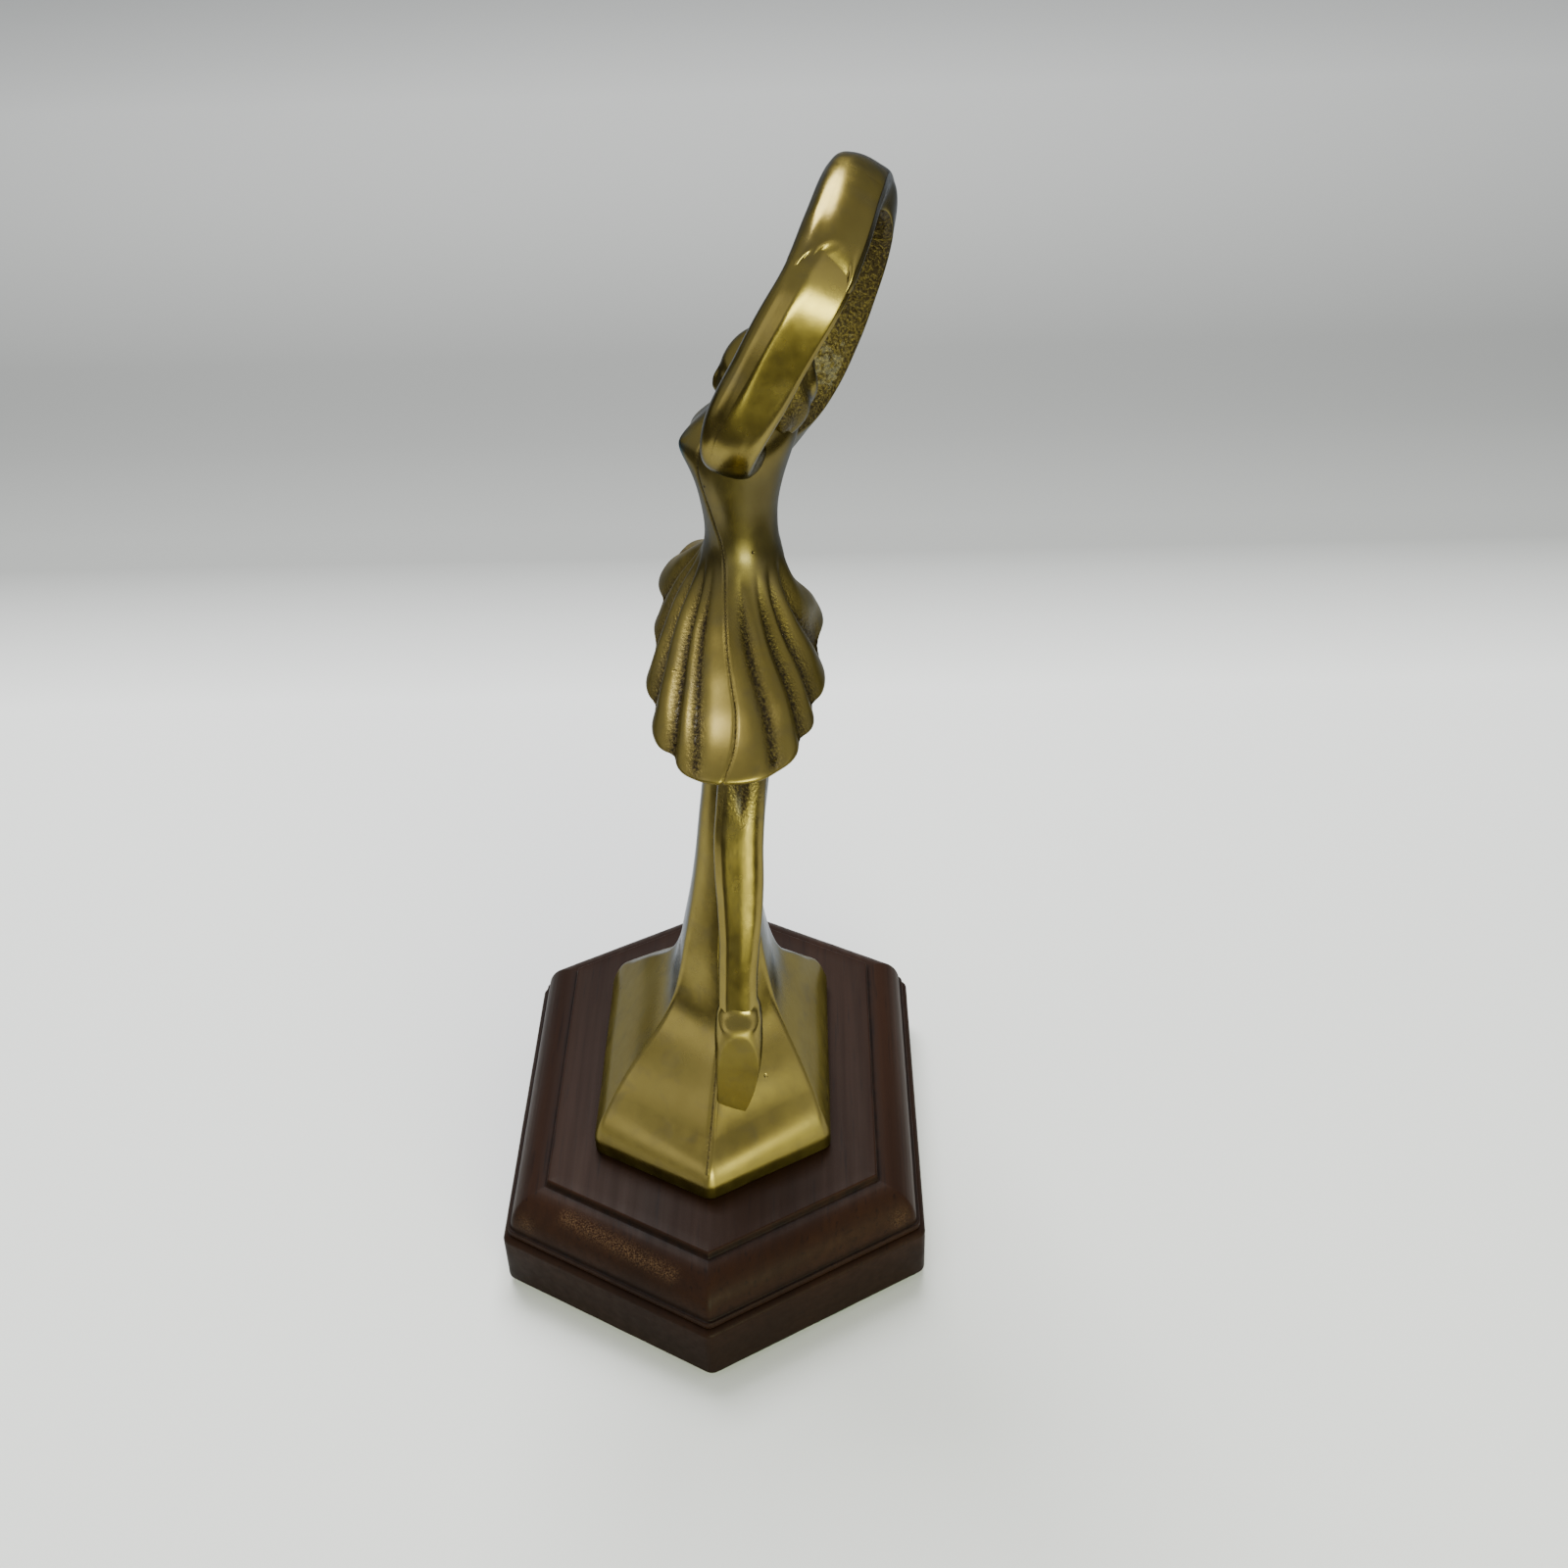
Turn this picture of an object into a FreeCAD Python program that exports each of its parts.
import FreeCAD, Part
import math
import os
import Sketcher

from FreeCAD import Placement, Rotation, Vector

# Brass dancer award on a two-board hexagonal plinth, in millimetres.
# Origin: centre of the underside. +Z is up, the figure faces -Y, and the plinth's long axis is X.
# The figure's left side (its free leg and the arm nearer to +X) is on +X.

SIZES = {
    # felt and boards
    "felt_inset": 1.5,
    "felt_thickness": 1.5,
    "plinth_half_width": 57.0,
    "plinth_half_side": 50.3,
    "lower_board_top": 18.1,
    "upper_board_top": 32.3,
    "board_corner_round": 3.0,
    "board_edge_round": 0.8,
    "ledge_width": 1.5,
    "moulding_fillet_height": 2.1,
    "moulding_fillet_step": 0.85,
    "moulding_radius": 10.1,
    # fixings inside the plinth
    "counterbore_radius": 13.0,
    "counterbore_top": 14.5,
    "stud_hole_radius": 4.5,
    "stud_radius": 4.0,
    "stud_bottom": 2.7,
    "stud_top": 55.0,
    "stud_chamfer": 0.8,
    "washer_radius": 8.0,
    "washer_thickness": 1.6,
    "lock_washer_radius": 7.0,
    "lock_washer_thickness": 2.2,
    "lock_washer_gap": 1.2,
    "nut_height": 6.5,
    "nut_across_flats": 13.0,
    "dowel_radius": 4.0,
    "dowel_depth": 8.0,
    "dowel_spacing_x": 88.0,
    "dowel_spacing_y": 60.0,
    "locating_pin_radius": 2.0,
    "locating_pin_depth": 8.0,
    "locating_pin_spacing": 60.0,
    # brass pedestal
    "pedestal_half_width": 32.0,
    "pedestal_half_side": 33.0,
    "rim_height": 4.6,
    "bevel_height": 6.8,
    "bevel_inset": 2.7,
    "boss_radius": 9.0,
    "lug_radius": 4.5,
    "cavity_ceiling": 60.0,
    # body shells
    "seam_y": 12.0,
    "skirt_ceiling": 190.0,
    # brazing pins
    "seam_pin_radius": 1.25,
    "seam_pin_length": 9.0,
    "hip_pin_radius": 2.0,
    "hip_pin_length": 16.0,
    "joint_pin_radius": 1.5,
    "joint_pin_length": 9.0,
    "cylinder_seam_turn": 37.0,
    # head
    "head_half_width": 10.0,
    "head_half_depth": 11.0,
    "head_half_height": 13.2,
    "head_x": 0.0,
    "head_y": 21.5,
    "head_z": 239.4,
    "neck_radius": 5.2,
    "neck_length": 14.0,
}

# Hexagonal sections of the pedestal and standing leg:
# height, half width, half side, centre x, centre y.
FLARE = [
    (43.7, 29.3, 31.44, 0.0, 0.0),
    (48.0, 26.7, 27.6, 0.0, 0.7),
    (54.5, 22.4, 21.9, 0.0, 1.8),
    (62.0, 16.9, 15.9, 0.0, 3.2),
    (71.0, 13.4, 12.7, -0.2, 4.0),
    (83.0, 11.2, 10.4, -0.5, 4.4),
    (98.0, 9.3, 8.0, -1.2, 5.6),
    (118.0, 8.7, 6.2, -3.0, 8.0),
    (140.0, 8.6, 5.2, -5.8, 10.6),
]

# The leg above it, straight up to the ceiling inside the skirt, in the same columns.
LEG_TOP = [
    (140.0, 8.6, 5.2, -5.8, 10.6),
    (190.0, 8.6, 5.0, -8.5, 12.8),
]

# Hexagonal sections of the hollow under the pedestal, in the same columns.
HOLLOW = [
    (32.3, 28.0, 30.7, 0.0, 0.0),
    (38.0, 26.0, 28.5, 0.0, 0.0),
    (44.0, 20.5, 22.0, 0.0, 0.4),
    (52.0, 14.5, 15.0, 0.0, 1.6),
    (60.0, 11.0, 11.0, 0.0, 2.8),
]

# Level oval sections: height, centre x, centre y, half size along x, half size along y.
BODY = [
    (168.5, 0.0, 11.6, 56.5, 22.9),
    (172.0, 0.0, 11.7, 56.0, 22.6),
    (179.0, 0.0, 12.2, 42.0, 19.6),
    (187.0, 0.0, 13.0, 27.0, 15.4),
    (194.0, 0.0, 13.8, 17.0, 11.6),
    (201.0, 0.0, 14.1, 12.6, 8.8),
    (208.0, 0.0, 13.8, 12.4, 8.8),
    (215.0, 0.0, 13.2, 14.8, 10.4),
    (222.0, 0.0, 13.4, 17.6, 12.2),
    (227.5, 0.0, 14.2, 19.0, 12.4),
    (232.0, 0.0, 17.0, 15.5, 9.2),
    (235.0, 0.0, 18.6, 8.5, 6.4),
]

SKIRT_HOLLOW = [
    (168.5, 0.0, 11.6, 53.0, 19.8),
    (174.0, 0.0, 11.9, 49.0, 18.6),
    (181.0, 0.0, 12.4, 36.0, 15.6),
    (190.0, 0.0, 13.2, 21.0, 11.4),
]

LEFT_LEG = [
    (190.0, 8.2, 12.6, 5.4, 6.5),
    (165.0, 8.6, 12.8, 5.4, 6.6),
    (141.0, 11.0, 12.1, 5.2, 6.4),
    (125.0, 15.2, 10.8, 5.2, 6.5),
    (112.0, 18.8, 10.5, 5.2, 6.4),
    (99.0, 22.6, 10.0, 4.9, 5.5),
    (82.0, 26.8, 9.1, 4.6, 5.2),
]

LEFT_FOOT = [
    (82.0, 26.8, 9.1, 4.6, 5.2),
    (77.0, 28.9, 8.9, 6.6, 5.3),
    (70.0, 30.2, 8.8, 6.1, 5.2),
    (60.0, 32.6, 8.2, 4.8, 4.7),
    (52.0, 35.0, 7.3, 3.5, 3.8),
    (47.0, 36.9, 6.3, 1.9, 2.2),
]

# Centre line of the raised arms: x, y, z, half width across the ring's plane, half thickness in it.
LEFT_ARM = [
    (13.0, 14.6, 225.2, 5.6, 4.4),
    (19.8, 13.6, 232.4, 6.8, 5.0),
    (22.4, 18.2, 243.8, 7.2, 5.2),
    (23.2, 24.2, 254.8, 7.2, 5.2),
    (22.2, 30.2, 264.8, 7.2, 5.2),
]

LEFT_HAND = [
    (22.2, 30.2, 264.8, 7.2, 5.2),
    (17.0, 34.6, 272.2, 7.2, 5.2),
    (9.0, 37.5, 277.1, 7.1, 5.2),
    (0.0, 39.7, 279.7, 7.0, 5.2),
]

RIGHT_HAND = [
    (0.0, 39.7, 279.7, 7.0, 5.2),
    (-9.0, 41.7, 278.9, 7.0, 5.2),
    (-16.4, 43.1, 274.1, 7.0, 5.2),
    (-21.0, 43.2, 266.0, 7.0, 5.2),
]

RIGHT_ARM = [
    (-21.0, 43.2, 266.0, 7.0, 5.2),
    (-23.0, 39.6, 253.0, 7.0, 5.2),
    (-23.0, 34.6, 239.5, 7.0, 5.2),
    (-21.0, 29.5, 228.5, 6.8, 5.0),
    (-12.0, 21.0, 222.0, 5.6, 4.4),
]

# Unit normal of the plane that the arm ring lies in: forwards and a little up.
RING_NORMAL = Vector(0.0, -0.92, 0.39)

doc = FreeCAD.newDocument("dancer_award")
sheet = doc.addObject("Spreadsheet::Sheet", "Sizes")
nodes = []


def fill_sheet():
    """Write every driving size, then every station of the lofted pieces, as named cells."""
    tables = {
        "flare": (FLARE, ("height", "half_width", "half_side", "x", "y")),
        "leg_top": (LEG_TOP, ("height", "half_width", "half_side", "x", "y")),
        "hollow": (HOLLOW, ("height", "half_width", "half_side", "x", "y")),
        "body": (BODY, ("height", "x", "y", "half_x", "half_y")),
        "skirt_hollow": (SKIRT_HOLLOW, ("height", "x", "y", "half_x", "half_y")),
        "left_leg": (LEFT_LEG, ("height", "x", "y", "half_x", "half_y")),
        "left_foot": (LEFT_FOOT, ("height", "x", "y", "half_x", "half_y")),
        "left_arm": (LEFT_ARM, ("x", "y", "z", "half_width", "half_thickness")),
        "left_hand": (LEFT_HAND, ("x", "y", "z", "half_width", "half_thickness")),
        "right_hand": (RIGHT_HAND, ("x", "y", "z", "half_width", "half_thickness")),
        "right_arm": (RIGHT_ARM, ("x", "y", "z", "half_width", "half_thickness")),
    }
    cells = dict(SIZES)
    for prefix, (rows, columns) in tables.items():
        for number, row in enumerate(rows, 1):
            for column, value in zip(columns, row):
                cells["%s_%d_%s" % (prefix, number, column)] = value
    for line, (alias, value) in enumerate(cells.items(), 1):
        sheet.set("A%d" % line, alias)
        sheet.set("B%d" % line, str(value))
        sheet.setAlias("B%d" % line, alias)
    doc.recompute()


def cell(alias):
    return "Sizes." + alias


def bind(obj, **expressions):
    """Tie properties to expressions; a double underscore in a name stands for a dot."""
    for name, expression in expressions.items():
        obj.setExpression(name.replace("__", "."), expression)


def keep(obj, label):
    """Name a finished sub-part and put it on the list of files to write."""
    obj.Label = label
    nodes.append(obj)
    return obj


# ---------------------------------------------------------------- sketches and bodies


def new_body(name):
    return doc.addObject("PartDesign::Body", name)


def origin_plane(body, role):
    return [feature for feature in body.Origin.OriginFeatures if feature.Role == role][0]


def plane_sketch(body, name, role="XY_Plane", **expressions):
    sketch = body.newObject("Sketcher::SketchObject", name)
    sketch.AttachmentSupport = [(origin_plane(body, role), "")]
    sketch.MapMode = "FlatFace"
    bind(sketch, **expressions)
    return sketch


def add_size(sketch, name, kind, geometry, point, value, expression):
    """Dimension one point from the sketch's origin and tie the dimension to an expression."""
    index = sketch.addConstraint(Sketcher.Constraint(kind, -1, 1, geometry, point, value))
    sketch.renameConstraint(index, name)
    sketch.setExpression("Constraints." + name, expression)


def hexagon_sketch(body, name, half_width, half_side, height, x="0", y="0"):
    """Long hexagon with 120 degree corners: two sides along X, and its tips on the X axis."""
    sketch = plane_sketch(
        body,
        name,
        AttachmentOffset__Base__x=x,
        AttachmentOffset__Base__y=y,
        AttachmentOffset__Base__z=height,
    )
    width, side = 10.0, 8.0
    tip = side + width * math.tan(math.radians(30))
    corners = [(side, -width), (tip, 0), (side, width), (-side, width), (-tip, 0), (-side, -width)]
    for number in range(6):
        start = Vector(*corners[number], 0)
        end = Vector(*corners[(number + 1) % 6], 0)
        sketch.addGeometry(Part.LineSegment(start, end), False)
    for number in range(6):
        sketch.addConstraint(Sketcher.Constraint("Coincident", number, 2, (number + 1) % 6, 1))
    for first, second, axis in ((0, 2, -1), (2, 3, -2), (0, 5, -2), (1, 4, -2)):
        sketch.addConstraint(Sketcher.Constraint("Symmetric", first, 1, second, 1, axis))
    sketch.addConstraint(Sketcher.Constraint("PointOnObject", 1, 1, -1))
    tip_expression = "(%s) + (%s) * tan(30 deg)" % (half_side, half_width)
    add_size(sketch, "side", "DistanceX", 2, 1, side, half_side)
    add_size(sketch, "width", "DistanceY", 2, 1, width, half_width)
    add_size(sketch, "tip", "DistanceX", 1, 1, tip, tip_expression)
    return sketch


def circles_sketch(body, name, radius, centres, height):
    """Equal circles; each centre is a pair of expressions from the sheet with a sign each."""
    sketch = plane_sketch(body, name, AttachmentOffset__Base__z=height)
    for number, (x_sign, x, y_sign, y) in enumerate(centres):
        centre = Vector(10 * x_sign, 10 * y_sign, 0)
        circle = sketch.addGeometry(Part.Circle(centre, Vector(0, 0, 1), 2.0), False)
        index = sketch.addConstraint(Sketcher.Constraint("Radius", circle, 2.0))
        sketch.setExpression("Constraints[%d]" % index, radius)
        if x_sign == 0 and y_sign == 0:
            sketch.addConstraint(Sketcher.Constraint("Coincident", circle, 3, -1, 1))
            continue
        for kind, sign, size in (("DistanceX", x_sign, x), ("DistanceY", y_sign, y)):
            if sign == 0:
                sketch.addConstraint(Sketcher.Constraint("PointOnObject", circle, 3, -1))
            elif sign > 0:
                index = sketch.addConstraint(Sketcher.Constraint(kind, -1, 1, circle, 3, 10.0))
                sketch.setExpression("Constraints[%d]" % index, size)
            else:
                index = sketch.addConstraint(Sketcher.Constraint(kind, circle, 3, -1, 1, 10.0))
                sketch.setExpression("Constraints[%d]" % index, size)
    return sketch


def pad(body, name, sketch, length):
    feature = body.newObject("PartDesign::Pad", name)
    feature.Profile = sketch
    bind(feature, Length=length)
    return feature


def pocket(body, name, sketch, length, upwards):
    """Cut a sketch's outline out of the body, above or below the sketch's plane."""
    feature = body.newObject("PartDesign::Pocket", name)
    feature.Profile = sketch
    feature.Reversed = upwards
    bind(feature, Length=length)
    doc.recompute()
    return feature


def hexagon_board(name, half_width, half_side, bottom, top):
    body = new_body(name)
    outline = hexagon_sketch(body, name + "_outline", half_width, half_side, bottom)
    board = pad(body, name + "_blank", outline, "(%s) - (%s)" % (top, bottom))
    doc.recompute()
    return body, board


# The centres of the four dowels and of the two locating pins, as signs and half spacings.
DOWEL_CENTRES = [
    (x_sign, "Sizes.dowel_spacing_x / 2", y_sign, "Sizes.dowel_spacing_y / 2")
    for x_sign in (-1, 1)
    for y_sign in (-1, 1)
]
LOCATING_CENTRES = [(x_sign, "Sizes.locating_pin_spacing / 2", 0, "") for x_sign in (-1, 1)]
STUD_CENTRE = [(0, "", 0, "")]


# ---------------------------------------------------------------- plinth


def felt_pad():
    half_width = "Sizes.plinth_half_width - Sizes.felt_inset"
    half_side = "Sizes.plinth_half_side - Sizes.felt_inset * tan(30 deg)"
    body, _ = hexagon_board("felt", half_width, half_side, "0", cell("felt_thickness"))
    keep(body, "felt_pad")


def lower_board():
    body, board = hexagon_board(
        "lower",
        cell("plinth_half_width"),
        cell("plinth_half_side"),
        cell("felt_thickness"),
        cell("lower_board_top"),
    )
    corners = body.newObject("PartDesign::Fillet", "lower_corners")
    corners.Base = (board, upright_edges(board.Shape))
    bind(corners, Radius=cell("board_corner_round"))
    doc.recompute()
    rim = body.newObject("PartDesign::Fillet", "lower_edges")
    rim.Base = (corners, outline_edges(corners.Shape))
    bind(rim, Radius=cell("board_edge_round"))
    doc.recompute()
    bottom = cell("felt_thickness")
    counterbore = circles_sketch(body, "counterbore", cell("counterbore_radius"), STUD_CENTRE, bottom)
    pocket(body, "counterbore_cut", counterbore, "Sizes.counterbore_top - " + bottom, True)
    through = circles_sketch(body, "lower_stud", cell("stud_hole_radius"), STUD_CENTRE, bottom)
    pocket(body, "lower_stud_cut", through, cell("lower_board_top"), True)
    top = cell("lower_board_top")
    dowels = circles_sketch(body, "lower_dowels", cell("dowel_radius"), DOWEL_CENTRES, top)
    pocket(body, "lower_dowels_cut", dowels, cell("dowel_depth"), False)
    keep(body, "lower_board")


def upright_edges(shape):
    names = []
    for number, edge in enumerate(shape.Edges, 1):
        ends = [vertex.Point for vertex in edge.Vertexes]
        if abs(ends[0].z - ends[-1].z) > 1.0:
            names.append("Edge%d" % number)
    return names


def outline_edges(shape):
    """Edges of the top and bottom faces of a plain board."""
    names = []
    for number, edge in enumerate(shape.Edges, 1):
        box = edge.BoundBox
        if box.ZLength < 1e-6:
            names.append("Edge%d" % number)
    return names


def upper_board():
    """Moulded board: an upright edge, a small step in, a quarter round and a square quirk."""
    half_width = "Sizes.plinth_half_width - Sizes.ledge_width"
    half_side = "Sizes.plinth_half_side - Sizes.ledge_width * tan(30 deg)"
    bottom = cell("lower_board_top")
    top = cell("upper_board_top")
    body, _ = hexagon_board("upper", half_width, half_side, bottom, top)
    path = moulding_path(body)
    profile = moulding_profile(body)
    doc.recompute()
    moulding = body.newObject("PartDesign::SubtractivePipe", "moulding")
    moulding.Profile = profile
    moulding.Spine = (path, ["Edge%d" % number for number in range(1, 8)])
    moulding.Transition = "Right corner"
    doc.recompute()
    through = circles_sketch(body, "upper_stud", cell("stud_hole_radius"), STUD_CENTRE, bottom)
    pocket(body, "upper_stud_cut", through, top, True)
    dowels = circles_sketch(body, "upper_dowels", cell("dowel_radius"), DOWEL_CENTRES, bottom)
    pocket(body, "upper_dowels_cut", dowels, cell("dowel_depth"), True)
    pins = circles_sketch(body, "upper_pins", cell("locating_pin_radius"), LOCATING_CENTRES, top)
    pocket(body, "upper_pins_cut", pins, cell("locating_pin_depth"), False)
    keep(body, "upper_board")


def moulding_path(body):
    """The board's outline as seven lines, so that it starts in the middle of the front side."""
    width = SIZES["plinth_half_width"] - SIZES["ledge_width"]
    side = SIZES["plinth_half_side"] - SIZES["ledge_width"] * math.tan(math.radians(30))
    tip = side + width * math.tan(math.radians(30))
    corners = [
        (0, -width),
        (side, -width),
        (tip, 0),
        (side, width),
        (-side, width),
        (-tip, 0),
        (-side, -width),
    ]
    sketch = plane_sketch(body, "moulding_path", AttachmentOffset__Base__z=cell("lower_board_top"))
    for number, corner in enumerate(corners):
        start = Vector(*corner, 0)
        end = Vector(*corners[(number + 1) % 7], 0)
        sketch.addGeometry(Part.LineSegment(start, end), False)
    for number in range(7):
        sketch.addConstraint(Sketcher.Constraint("Coincident", number, 2, (number + 1) % 7, 1))
    return sketch


def moulding_profile(body):
    """Section of the wood that is cut away, drawn across the front side: x is Y, y is Z."""
    sketch = plane_sketch(body, "moulding_profile", "YZ_Plane")
    radius = SIZES["moulding_radius"]
    outer = -SIZES["plinth_half_width"] + SIZES["ledge_width"]
    foot = SIZES["lower_board_top"] + SIZES["moulding_fillet_height"]
    round_start = outer + SIZES["moulding_fillet_step"]
    quirk = round_start + radius
    clear_of_board = 2.0
    outside = outer - clear_of_board
    above = SIZES["upper_board_top"] + clear_of_board
    centre = Vector(quirk, foot, 0)
    quarter = Part.ArcOfCircle(Part.Circle(centre, Vector(0, 0, 1), radius), math.pi / 2, math.pi)
    sketch.addGeometry(Part.LineSegment(Vector(outside, foot, 0), Vector(round_start, foot, 0)), False)
    sketch.addGeometry(quarter, False)
    sketch.addGeometry(Part.LineSegment(Vector(quirk, foot + radius, 0), Vector(quirk, above, 0)), False)
    sketch.addGeometry(Part.LineSegment(Vector(quirk, above, 0), Vector(outside, above, 0)), False)
    sketch.addGeometry(Part.LineSegment(Vector(outside, above, 0), Vector(outside, foot, 0)), False)
    for first, first_end, second, second_end in (
        (0, 2, 1, 2),
        (1, 1, 2, 1),
        (2, 2, 3, 1),
        (3, 2, 4, 1),
        (4, 2, 0, 1),
    ):
        sketch.addConstraint(Sketcher.Constraint("Coincident", first, first_end, second, second_end))
    return sketch


# ---------------------------------------------------------------- plain solids and booleans


def cylinder(name, radius, height, base, axis=Vector(0, 0, 1)):
    """Cylinder on a base point along an axis; radius and height are expressions.

    The seam line of its wall is turned away from the seams of the ovals that it cuts.
    """
    solid = doc.addObject("Part::Cylinder", name)
    bind(solid, Radius=radius, Height=height)
    seam_turn = Rotation(Vector(0, 0, 1), SIZES["cylinder_seam_turn"])
    solid.Placement = Placement(base, Rotation(Vector(0, 0, 1), axis) * seam_turn)
    return solid


def cut(name, base, tool):
    result = doc.addObject("Part::Cut", name)
    result.Base = base
    result.Tool = tool
    return result


def cut_all(name, base, tools):
    for number, tool in enumerate(tools, 1):
        base = cut("%s_cut_%d" % (name, number), base, tool)
    return base


def group(name, solids):
    result = doc.addObject("Part::Compound", name)
    result.Links = solids
    return result


def half_space(name, in_front):
    """Block on one side of the seam plane, larger than the figure."""
    reach = 200.0
    block = doc.addObject("Part::Box", name)
    block.Length = 2 * reach
    block.Width = reach
    block.Height = 2 * reach
    block.Placement = Placement(Vector(-reach, 0, 0), Rotation())
    shift = " - %g mm" % reach if in_front else ""
    bind(block, Placement__Base__y=cell("seam_y") + " * 1 mm" + shift)
    return block


def level_oval(prefix, number):
    """Ellipse in a level plane; the longer radius always leads, so a narrow oval is turned."""
    table = {"body": BODY, "skirt_hollow": SKIRT_HOLLOW, "left_leg": LEFT_LEG, "left_foot": LEFT_FOOT}
    row = table[prefix][number - 1]
    name = "%s_%d" % (prefix, number)
    oval = doc.addObject("Part::Ellipse", name + "_oval")
    long_axis, short_axis, turn = "half_x", "half_y", 0.0
    if row[4] > row[3]:
        long_axis, short_axis, turn = "half_y", "half_x", 90.0
    oval.Placement = Placement(Vector(), Rotation(Vector(0, 0, 1), turn))
    bind(
        oval,
        MajorRadius=cell("%s_%s" % (name, long_axis)),
        MinorRadius=cell("%s_%s" % (name, short_axis)),
        Placement__Base__x=cell(name + "_x"),
        Placement__Base__y=cell(name + "_y"),
        Placement__Base__z=cell(name + "_height"),
    )
    return oval


def loft(name, sections):
    result = doc.addObject("Part::Loft", name)
    result.Sections = sections
    result.Solid = True
    result.Ruled = False
    return result


def level_loft(prefix, rows):
    return loft(prefix + "_loft", [level_oval(prefix, number + 1) for number in range(len(rows))])


def path_tangent(points, number):
    before = points[max(number - 1, 0)]
    after = points[min(number + 1, len(points) - 1)]
    return (after - before).normalize()


def arm_loft(prefix, rows, first, ring):
    """Loft along the ring's centre line; first is the piece's first station on the whole ring."""
    sections = []
    for number in range(1, len(rows) + 1):
        tangent = path_tangent(ring, first + number - 1)
        across = RING_NORMAL - tangent * RING_NORMAL.dot(tangent)
        name = "%s_%d" % (prefix, number)
        oval = doc.addObject("Part::Ellipse", name + "_oval")
        oval.Placement = Placement(Vector(), Rotation(across, Vector(), tangent, "ZXY"))
        bind(
            oval,
            MajorRadius=cell(name + "_half_width"),
            MinorRadius=cell(name + "_half_thickness"),
            Placement__Base__x=cell(name + "_x"),
            Placement__Base__y=cell(name + "_y"),
            Placement__Base__z=cell(name + "_z"),
        )
        sections.append(oval)
    return loft(prefix + "_loft", sections)


# ---------------------------------------------------------------- fixings


def fixings():
    """Stud, nut and washers in the counterbore, and the wooden dowels and steel pins."""
    stud = new_body("stud")
    outline = circles_sketch(stud, "stud_outline", cell("stud_radius"), STUD_CENTRE, cell("stud_bottom"))
    rod = pad(stud, "stud_rod", outline, "Sizes.stud_top - Sizes.stud_bottom")
    doc.recompute()
    ends = stud.newObject("PartDesign::Chamfer", "stud_ends")
    ends.Base = (rod, ["Edge1", "Edge3"])
    bind(ends, Size=cell("stud_chamfer"))
    keep(stud, "threaded_stud")

    washer_bottom = "(Sizes.counterbore_top - Sizes.washer_thickness)"
    washer = ring("washer", cell("washer_radius"), cell("washer_thickness"), washer_bottom)
    keep(washer, "flat_washer")

    lock_bottom = "(Sizes.counterbore_top - Sizes.washer_thickness - Sizes.lock_washer_thickness)"
    lock = ring("lock", cell("lock_washer_radius"), cell("lock_washer_thickness"), lock_bottom)
    split = plane_sketch(lock, "lock_split", AttachmentOffset__Base__z=lock_bottom)
    half_gap = SIZES["lock_washer_gap"] / 2
    reach = SIZES["lock_washer_radius"] + 1
    corners = [(half_gap, 0), (half_gap, reach), (-half_gap, reach), (-half_gap, 0)]
    for number, corner in enumerate(corners):
        line = Part.LineSegment(Vector(*corner, 0), Vector(*corners[(number + 1) % 4], 0))
        split.addGeometry(line, False)
    pocket(lock, "lock_split_cut", split, cell("lock_washer_thickness"), True)
    keep(lock, "lock_washer")

    nut = new_body("nut")
    nut_bottom = lock_bottom + " - Sizes.nut_height"
    half_flats = "Sizes.nut_across_flats / 2"
    flats = hexagon_sketch(nut, "nut_flats", half_flats, half_flats + " * tan(30 deg)", nut_bottom)
    pad(nut, "nut_block", flats, cell("nut_height"))
    doc.recompute()
    bore = circles_sketch(nut, "nut_bore", cell("stud_radius"), STUD_CENTRE, nut_bottom)
    pocket(nut, "nut_bore_cut", bore, cell("nut_height"), True)
    keep(nut, "hex_nut")

    dowels = []
    pins = []
    for x_sign in (-1, 1):
        for y_sign in (-1, 1):
            base = Vector(
                x_sign * SIZES["dowel_spacing_x"] / 2,
                y_sign * SIZES["dowel_spacing_y"] / 2,
                SIZES["lower_board_top"] - SIZES["dowel_depth"],
            )
            name = "dowel_%d" % (len(dowels) + 1)
            dowels.append(cylinder(name, cell("dowel_radius"), "2 * Sizes.dowel_depth", base))
        base = Vector(
            x_sign * SIZES["locating_pin_spacing"] / 2,
            0,
            SIZES["upper_board_top"] - SIZES["locating_pin_depth"],
        )
        name = "locating_pin_%d" % (len(pins) + 1)
        pins.append(cylinder(name, cell("locating_pin_radius"), "2 * Sizes.locating_pin_depth", base))
    keep(group("dowels", dowels), "board_dowels")
    keep(group("locating", pins), "locating_pins")
    return pins


def ring(name, radius, thickness, bottom):
    body = new_body(name)
    outline = circles_sketch(body, name + "_outline", radius, STUD_CENTRE, bottom)
    pad(body, name + "_disc", outline, thickness)
    doc.recompute()
    bore = circles_sketch(body, name + "_bore", cell("stud_radius"), STUD_CENTRE, bottom)
    pocket(body, name + "_bore_cut", bore, thickness, True)
    return body


# ---------------------------------------------------------------- brass castings


def hexagon_stack(body, prefix, rows):
    sketches = []
    for number in range(1, len(rows) + 1):
        name = "%s_%d" % (prefix, number)
        sketches.append(
            hexagon_sketch(
                body,
                name + "_section",
                cell(name + "_half_width"),
                cell(name + "_half_side"),
                cell(name + "_height"),
                cell(name + "_x"),
                cell(name + "_y"),
            )
        )
    return sketches


def body_loft(body, name, sketches, ruled):
    feature = body.newObject("PartDesign::AdditiveLoft", name)
    feature.Profile = sketches[0]
    feature.Sections = sketches[1:]
    feature.Ruled = ruled
    doc.recompute()
    return feature


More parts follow.
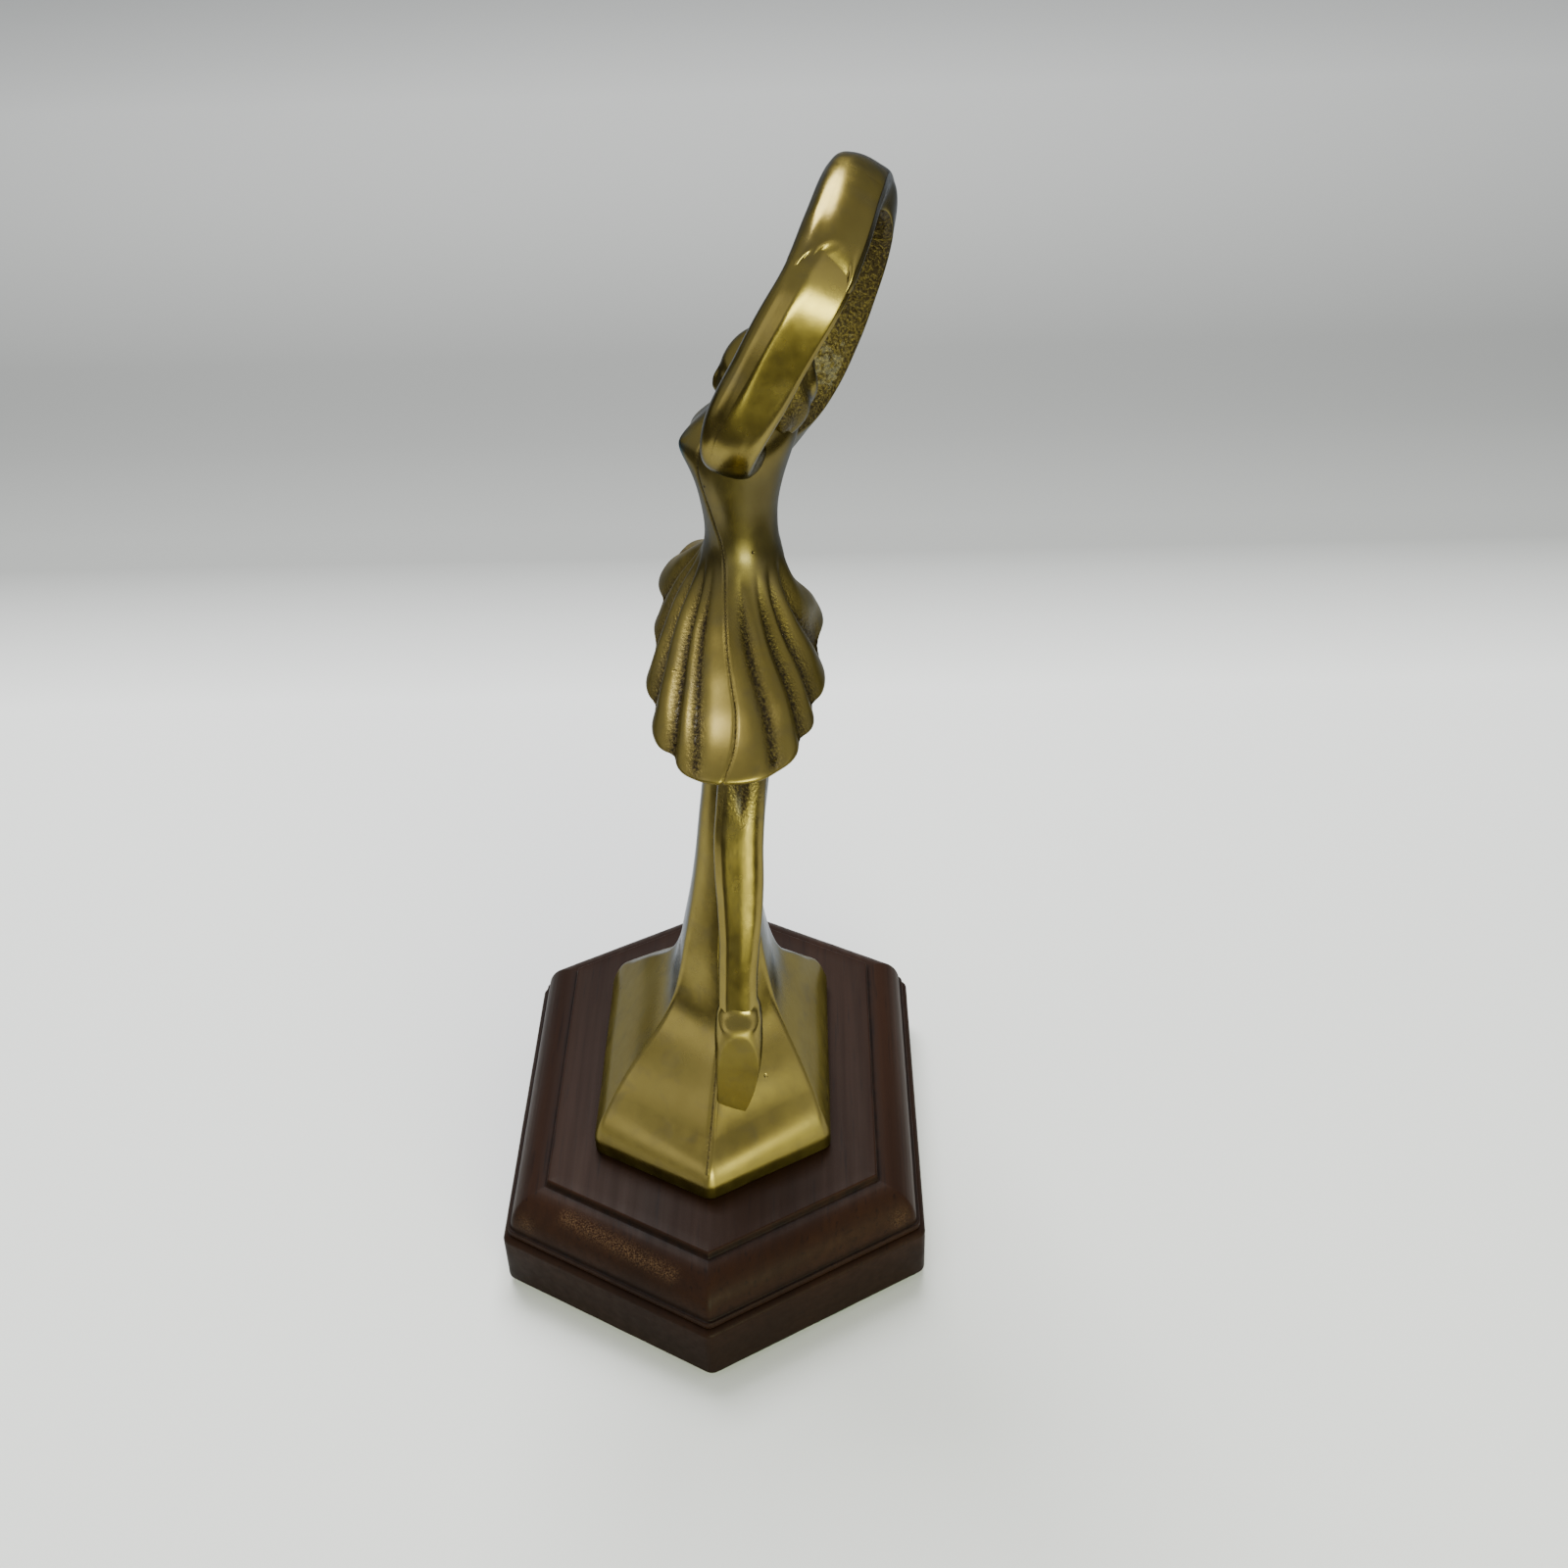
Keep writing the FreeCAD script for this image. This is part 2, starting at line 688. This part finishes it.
def pedestal(locating_pins):
    """Six-sided flared foot that runs up into the standing leg, hollow over the plinth."""
    casting = new_body("pedestal_casting")
    bottom = cell("upper_board_top")
    outline = hexagon_sketch(
        casting, "rim_outline", cell("pedestal_half_width"), cell("pedestal_half_side"), bottom
    )
    pad(casting, "rim", outline, cell("rim_height"))
    doc.recompute()
    rim_top = "Sizes.upper_board_top + Sizes.rim_height"
    bevel_width = "Sizes.pedestal_half_width - Sizes.bevel_inset"
    bevel_side = "Sizes.pedestal_half_side - Sizes.bevel_inset * tan(30 deg)"
    bevel = [
        hexagon_sketch(
            casting, "bevel_low", cell("pedestal_half_width"), cell("pedestal_half_side"), rim_top
        ),
        hexagon_sketch(
            casting, "bevel_high", bevel_width, bevel_side, rim_top + " + Sizes.bevel_height"
        ),
    ]
    body_loft(casting, "bevel", bevel, True)
    body_loft(casting, "flare", hexagon_stack(casting, "flare", FLARE), False)
    body_loft(casting, "leg_top", hexagon_stack(casting, "leg_top", LEG_TOP), True)

    core = new_body("pedestal_core")
    body_loft(core, "core", hexagon_stack(core, "hollow", HOLLOW), False)
    floor = SIZES["upper_board_top"]
    hollow_height = "Sizes.cavity_ceiling - Sizes.upper_board_top"
    posts = [cylinder("boss", cell("boss_radius"), hollow_height, Vector(0, 0, floor))]
    for x_sign in (-1, 1):
        base = Vector(x_sign * SIZES["locating_pin_spacing"] / 2, 0, floor)
        name = "lug_%d" % (len(posts))
        posts.append(cylinder(name, cell("lug_radius"), hollow_height, base))
    hollow = cut_all("hollow", core, posts)
    stud_length = "Sizes.stud_top - Sizes.upper_board_top"
    stud_hole = cylinder("stud_hole", cell("stud_radius"), stud_length, Vector(0, 0, floor))
    return cut_all("pedestal", casting, [hollow, stud_hole] + locating_pins)


def seam_pins():
    """Three pins across the seam plane, where the torso is solid."""
    half_length = SIZES["seam_pin_length"] / 2
    pins = []
    for x, z in ((0.0, 204.0), (-7.5, 217.0), (7.5, 217.0)):
        base = Vector(x, SIZES["seam_y"] - half_length, z)
        name = "seam_pin_%d" % (len(pins) + 1)
        radius = cell("seam_pin_radius")
        pins.append(cylinder(name, radius, cell("seam_pin_length"), base, Vector(0, 1, 0)))
    return pins


def hip_pins():
    """One upright pin from the top of each leg into the solid part of the body."""
    half_length = SIZES["hip_pin_length"] / 2
    pins = []
    for x, y in ((LEFT_LEG[0][1], LEFT_LEG[0][2]), (LEG_TOP[-1][3], LEG_TOP[-1][4])):
        base = Vector(x, y, SIZES["skirt_ceiling"] - half_length)
        name = "hip_pin_%d" % (len(pins) + 1)
        pins.append(cylinder(name, cell("hip_pin_radius"), cell("hip_pin_length"), base))
    return pins


def joint_pin(name, centre, axis):
    base = centre - axis * (SIZES["joint_pin_length"] / 2)
    return cylinder(name, cell("joint_pin_radius"), cell("joint_pin_length"), base, axis)


def figure(pedestal_with_hollow):
    """Legs, two body shells, head and the ring of the arms, with the pins at their joints."""
    solid_body = level_loft("body", BODY)
    skirt_hollow = level_loft("skirt_hollow", SKIRT_HOLLOW)
    pieces = (
        ("left_arm", LEFT_ARM),
        ("left_hand", LEFT_HAND),
        ("right_hand", RIGHT_HAND),
        ("right_arm", RIGHT_ARM),
    )
    ring_points = [Vector(*LEFT_ARM[0][:3])]
    for _, rows in pieces:
        ring_points += [Vector(*row[:3]) for row in rows[1:]]
    arms = {}
    first = 0
    for prefix, rows in pieces:
        arms[prefix] = arm_loft(prefix, rows, first, ring_points)
        first += len(rows) - 1

    across_seam = seam_pins()
    at_hips = hip_pins()
    at_shoulders = []
    for start, end in ((ring_points[0], ring_points[1]), (ring_points[-1], ring_points[-2])):
        axis = (end - start).normalize()
        name = "shoulder_pin_%d" % (len(at_shoulders) + 1)
        at_shoulders.append(joint_pin(name, start + axis * 5.0, axis))
    ankle = Vector(LEFT_FOOT[0][1], LEFT_FOOT[0][2], LEFT_FOOT[0][0])
    at_ankle = joint_pin("ankle_pin_solid", ankle, Vector(0, 0, 1))
    neck_base = Vector(SIZES["head_x"], BODY[-1][2], BODY[-1][0])
    at_neck = joint_pin("neck_pin_solid", neck_base, Vector(0, 0, 1))

    keep(cut_all("standing", pedestal_with_hollow, [at_hips[1]]), "pedestal")
    leg = level_loft("left_leg", LEFT_LEG)
    keep(cut_all("leg", leg, [at_hips[0], at_ankle]), "left_leg")
    foot = level_loft("left_foot", LEFT_FOOT)
    keep(cut_all("foot", foot, [pedestal_with_hollow, at_ankle]), "left_foot")

    shell = cut_all(
        "shell", solid_body, [skirt_hollow] + across_seam + at_hips + at_shoulders + [at_neck]
    )
    for label, in_front in (("body_front_shell", True), ("body_back_shell", False)):
        half = doc.addObject("Part::Common", label + "_half")
        half.Base = shell
        half.Tool = half_space(label + "_side", in_front)
        keep(half, label)

    keep(head(solid_body, at_neck), "head")
    keep(cut_all("left_arm", arms["left_arm"], [solid_body, at_shoulders[0]]), "left_arm")
    keep(arms["left_hand"], "left_hand")
    keep(arms["right_hand"], "right_hand")
    keep(cut_all("right_arm", arms["right_arm"], [solid_body, at_shoulders[1]]), "right_arm")
    keep(group("seam_pin_group", across_seam), "seam_pins")
    keep(group("hip_pin_group", at_hips), "hip_pins")
    keep(group("shoulder_pin_group", at_shoulders), "shoulder_pins")
    keep(at_ankle, "ankle_pin")
    keep(at_neck, "neck_pin")


def head(solid_body, at_neck):
    """Plain oval head, leaning back a little, on a short neck."""
    skull = doc.addObject("Part::Ellipsoid", "skull")
    skull.Placement = Placement(Vector(), Rotation(Vector(1, 0, 0), -12))
    bind(
        skull,
        Radius1=cell("head_half_height"),
        Radius2=cell("head_half_width"),
        Radius3=cell("head_half_depth"),
        Placement__Base__x=cell("head_x"),
        Placement__Base__y=cell("head_y"),
        Placement__Base__z=cell("head_z"),
    )
    neck_base = Vector(SIZES["head_x"], BODY[-1][2], BODY[-1][0] - SIZES["neck_length"] / 2)
    neck = cylinder("neck", cell("neck_radius"), cell("neck_length"), neck_base)
    whole = doc.addObject("Part::Fuse", "head_and_neck")
    whole.Base = skull
    whole.Tool = neck
    return cut_all("head", whole, [solid_body, at_neck])


# ---------------------------------------------------------------- build, test and write


def failed(obj):
    return any(word in obj.State for word in ("Invalid", "Error"))


def write_nodes():
    bad = [obj.Name for obj in doc.Objects if failed(obj)]
    bad += [obj.Label for obj in nodes if obj.Shape.isNull() or not obj.Shape.isValid()]
    if bad:
        raise RuntimeError("these objects failed: " + ", ".join(bad))
    os.makedirs("parts", exist_ok=True)
    for obj in nodes:
        obj.Shape.exportStep("parts/%s.step" % obj.Label)
        box = obj.Shape.BoundBox
        corners = (box.XMin, box.YMin, box.ZMin, box.XMax, box.YMax, box.ZMax)
        size = " ".join("%7.1f" % number for number in corners)
        print("%-18s %9.0f mm3  %d solids  %s" % (obj.Label, obj.Shape.Volume, len(obj.Shape.Solids), size))


fill_sheet()
felt_pad()
lower_board()
upper_board()
figure(pedestal(fixings()))
doc.recompute()
write_nodes()
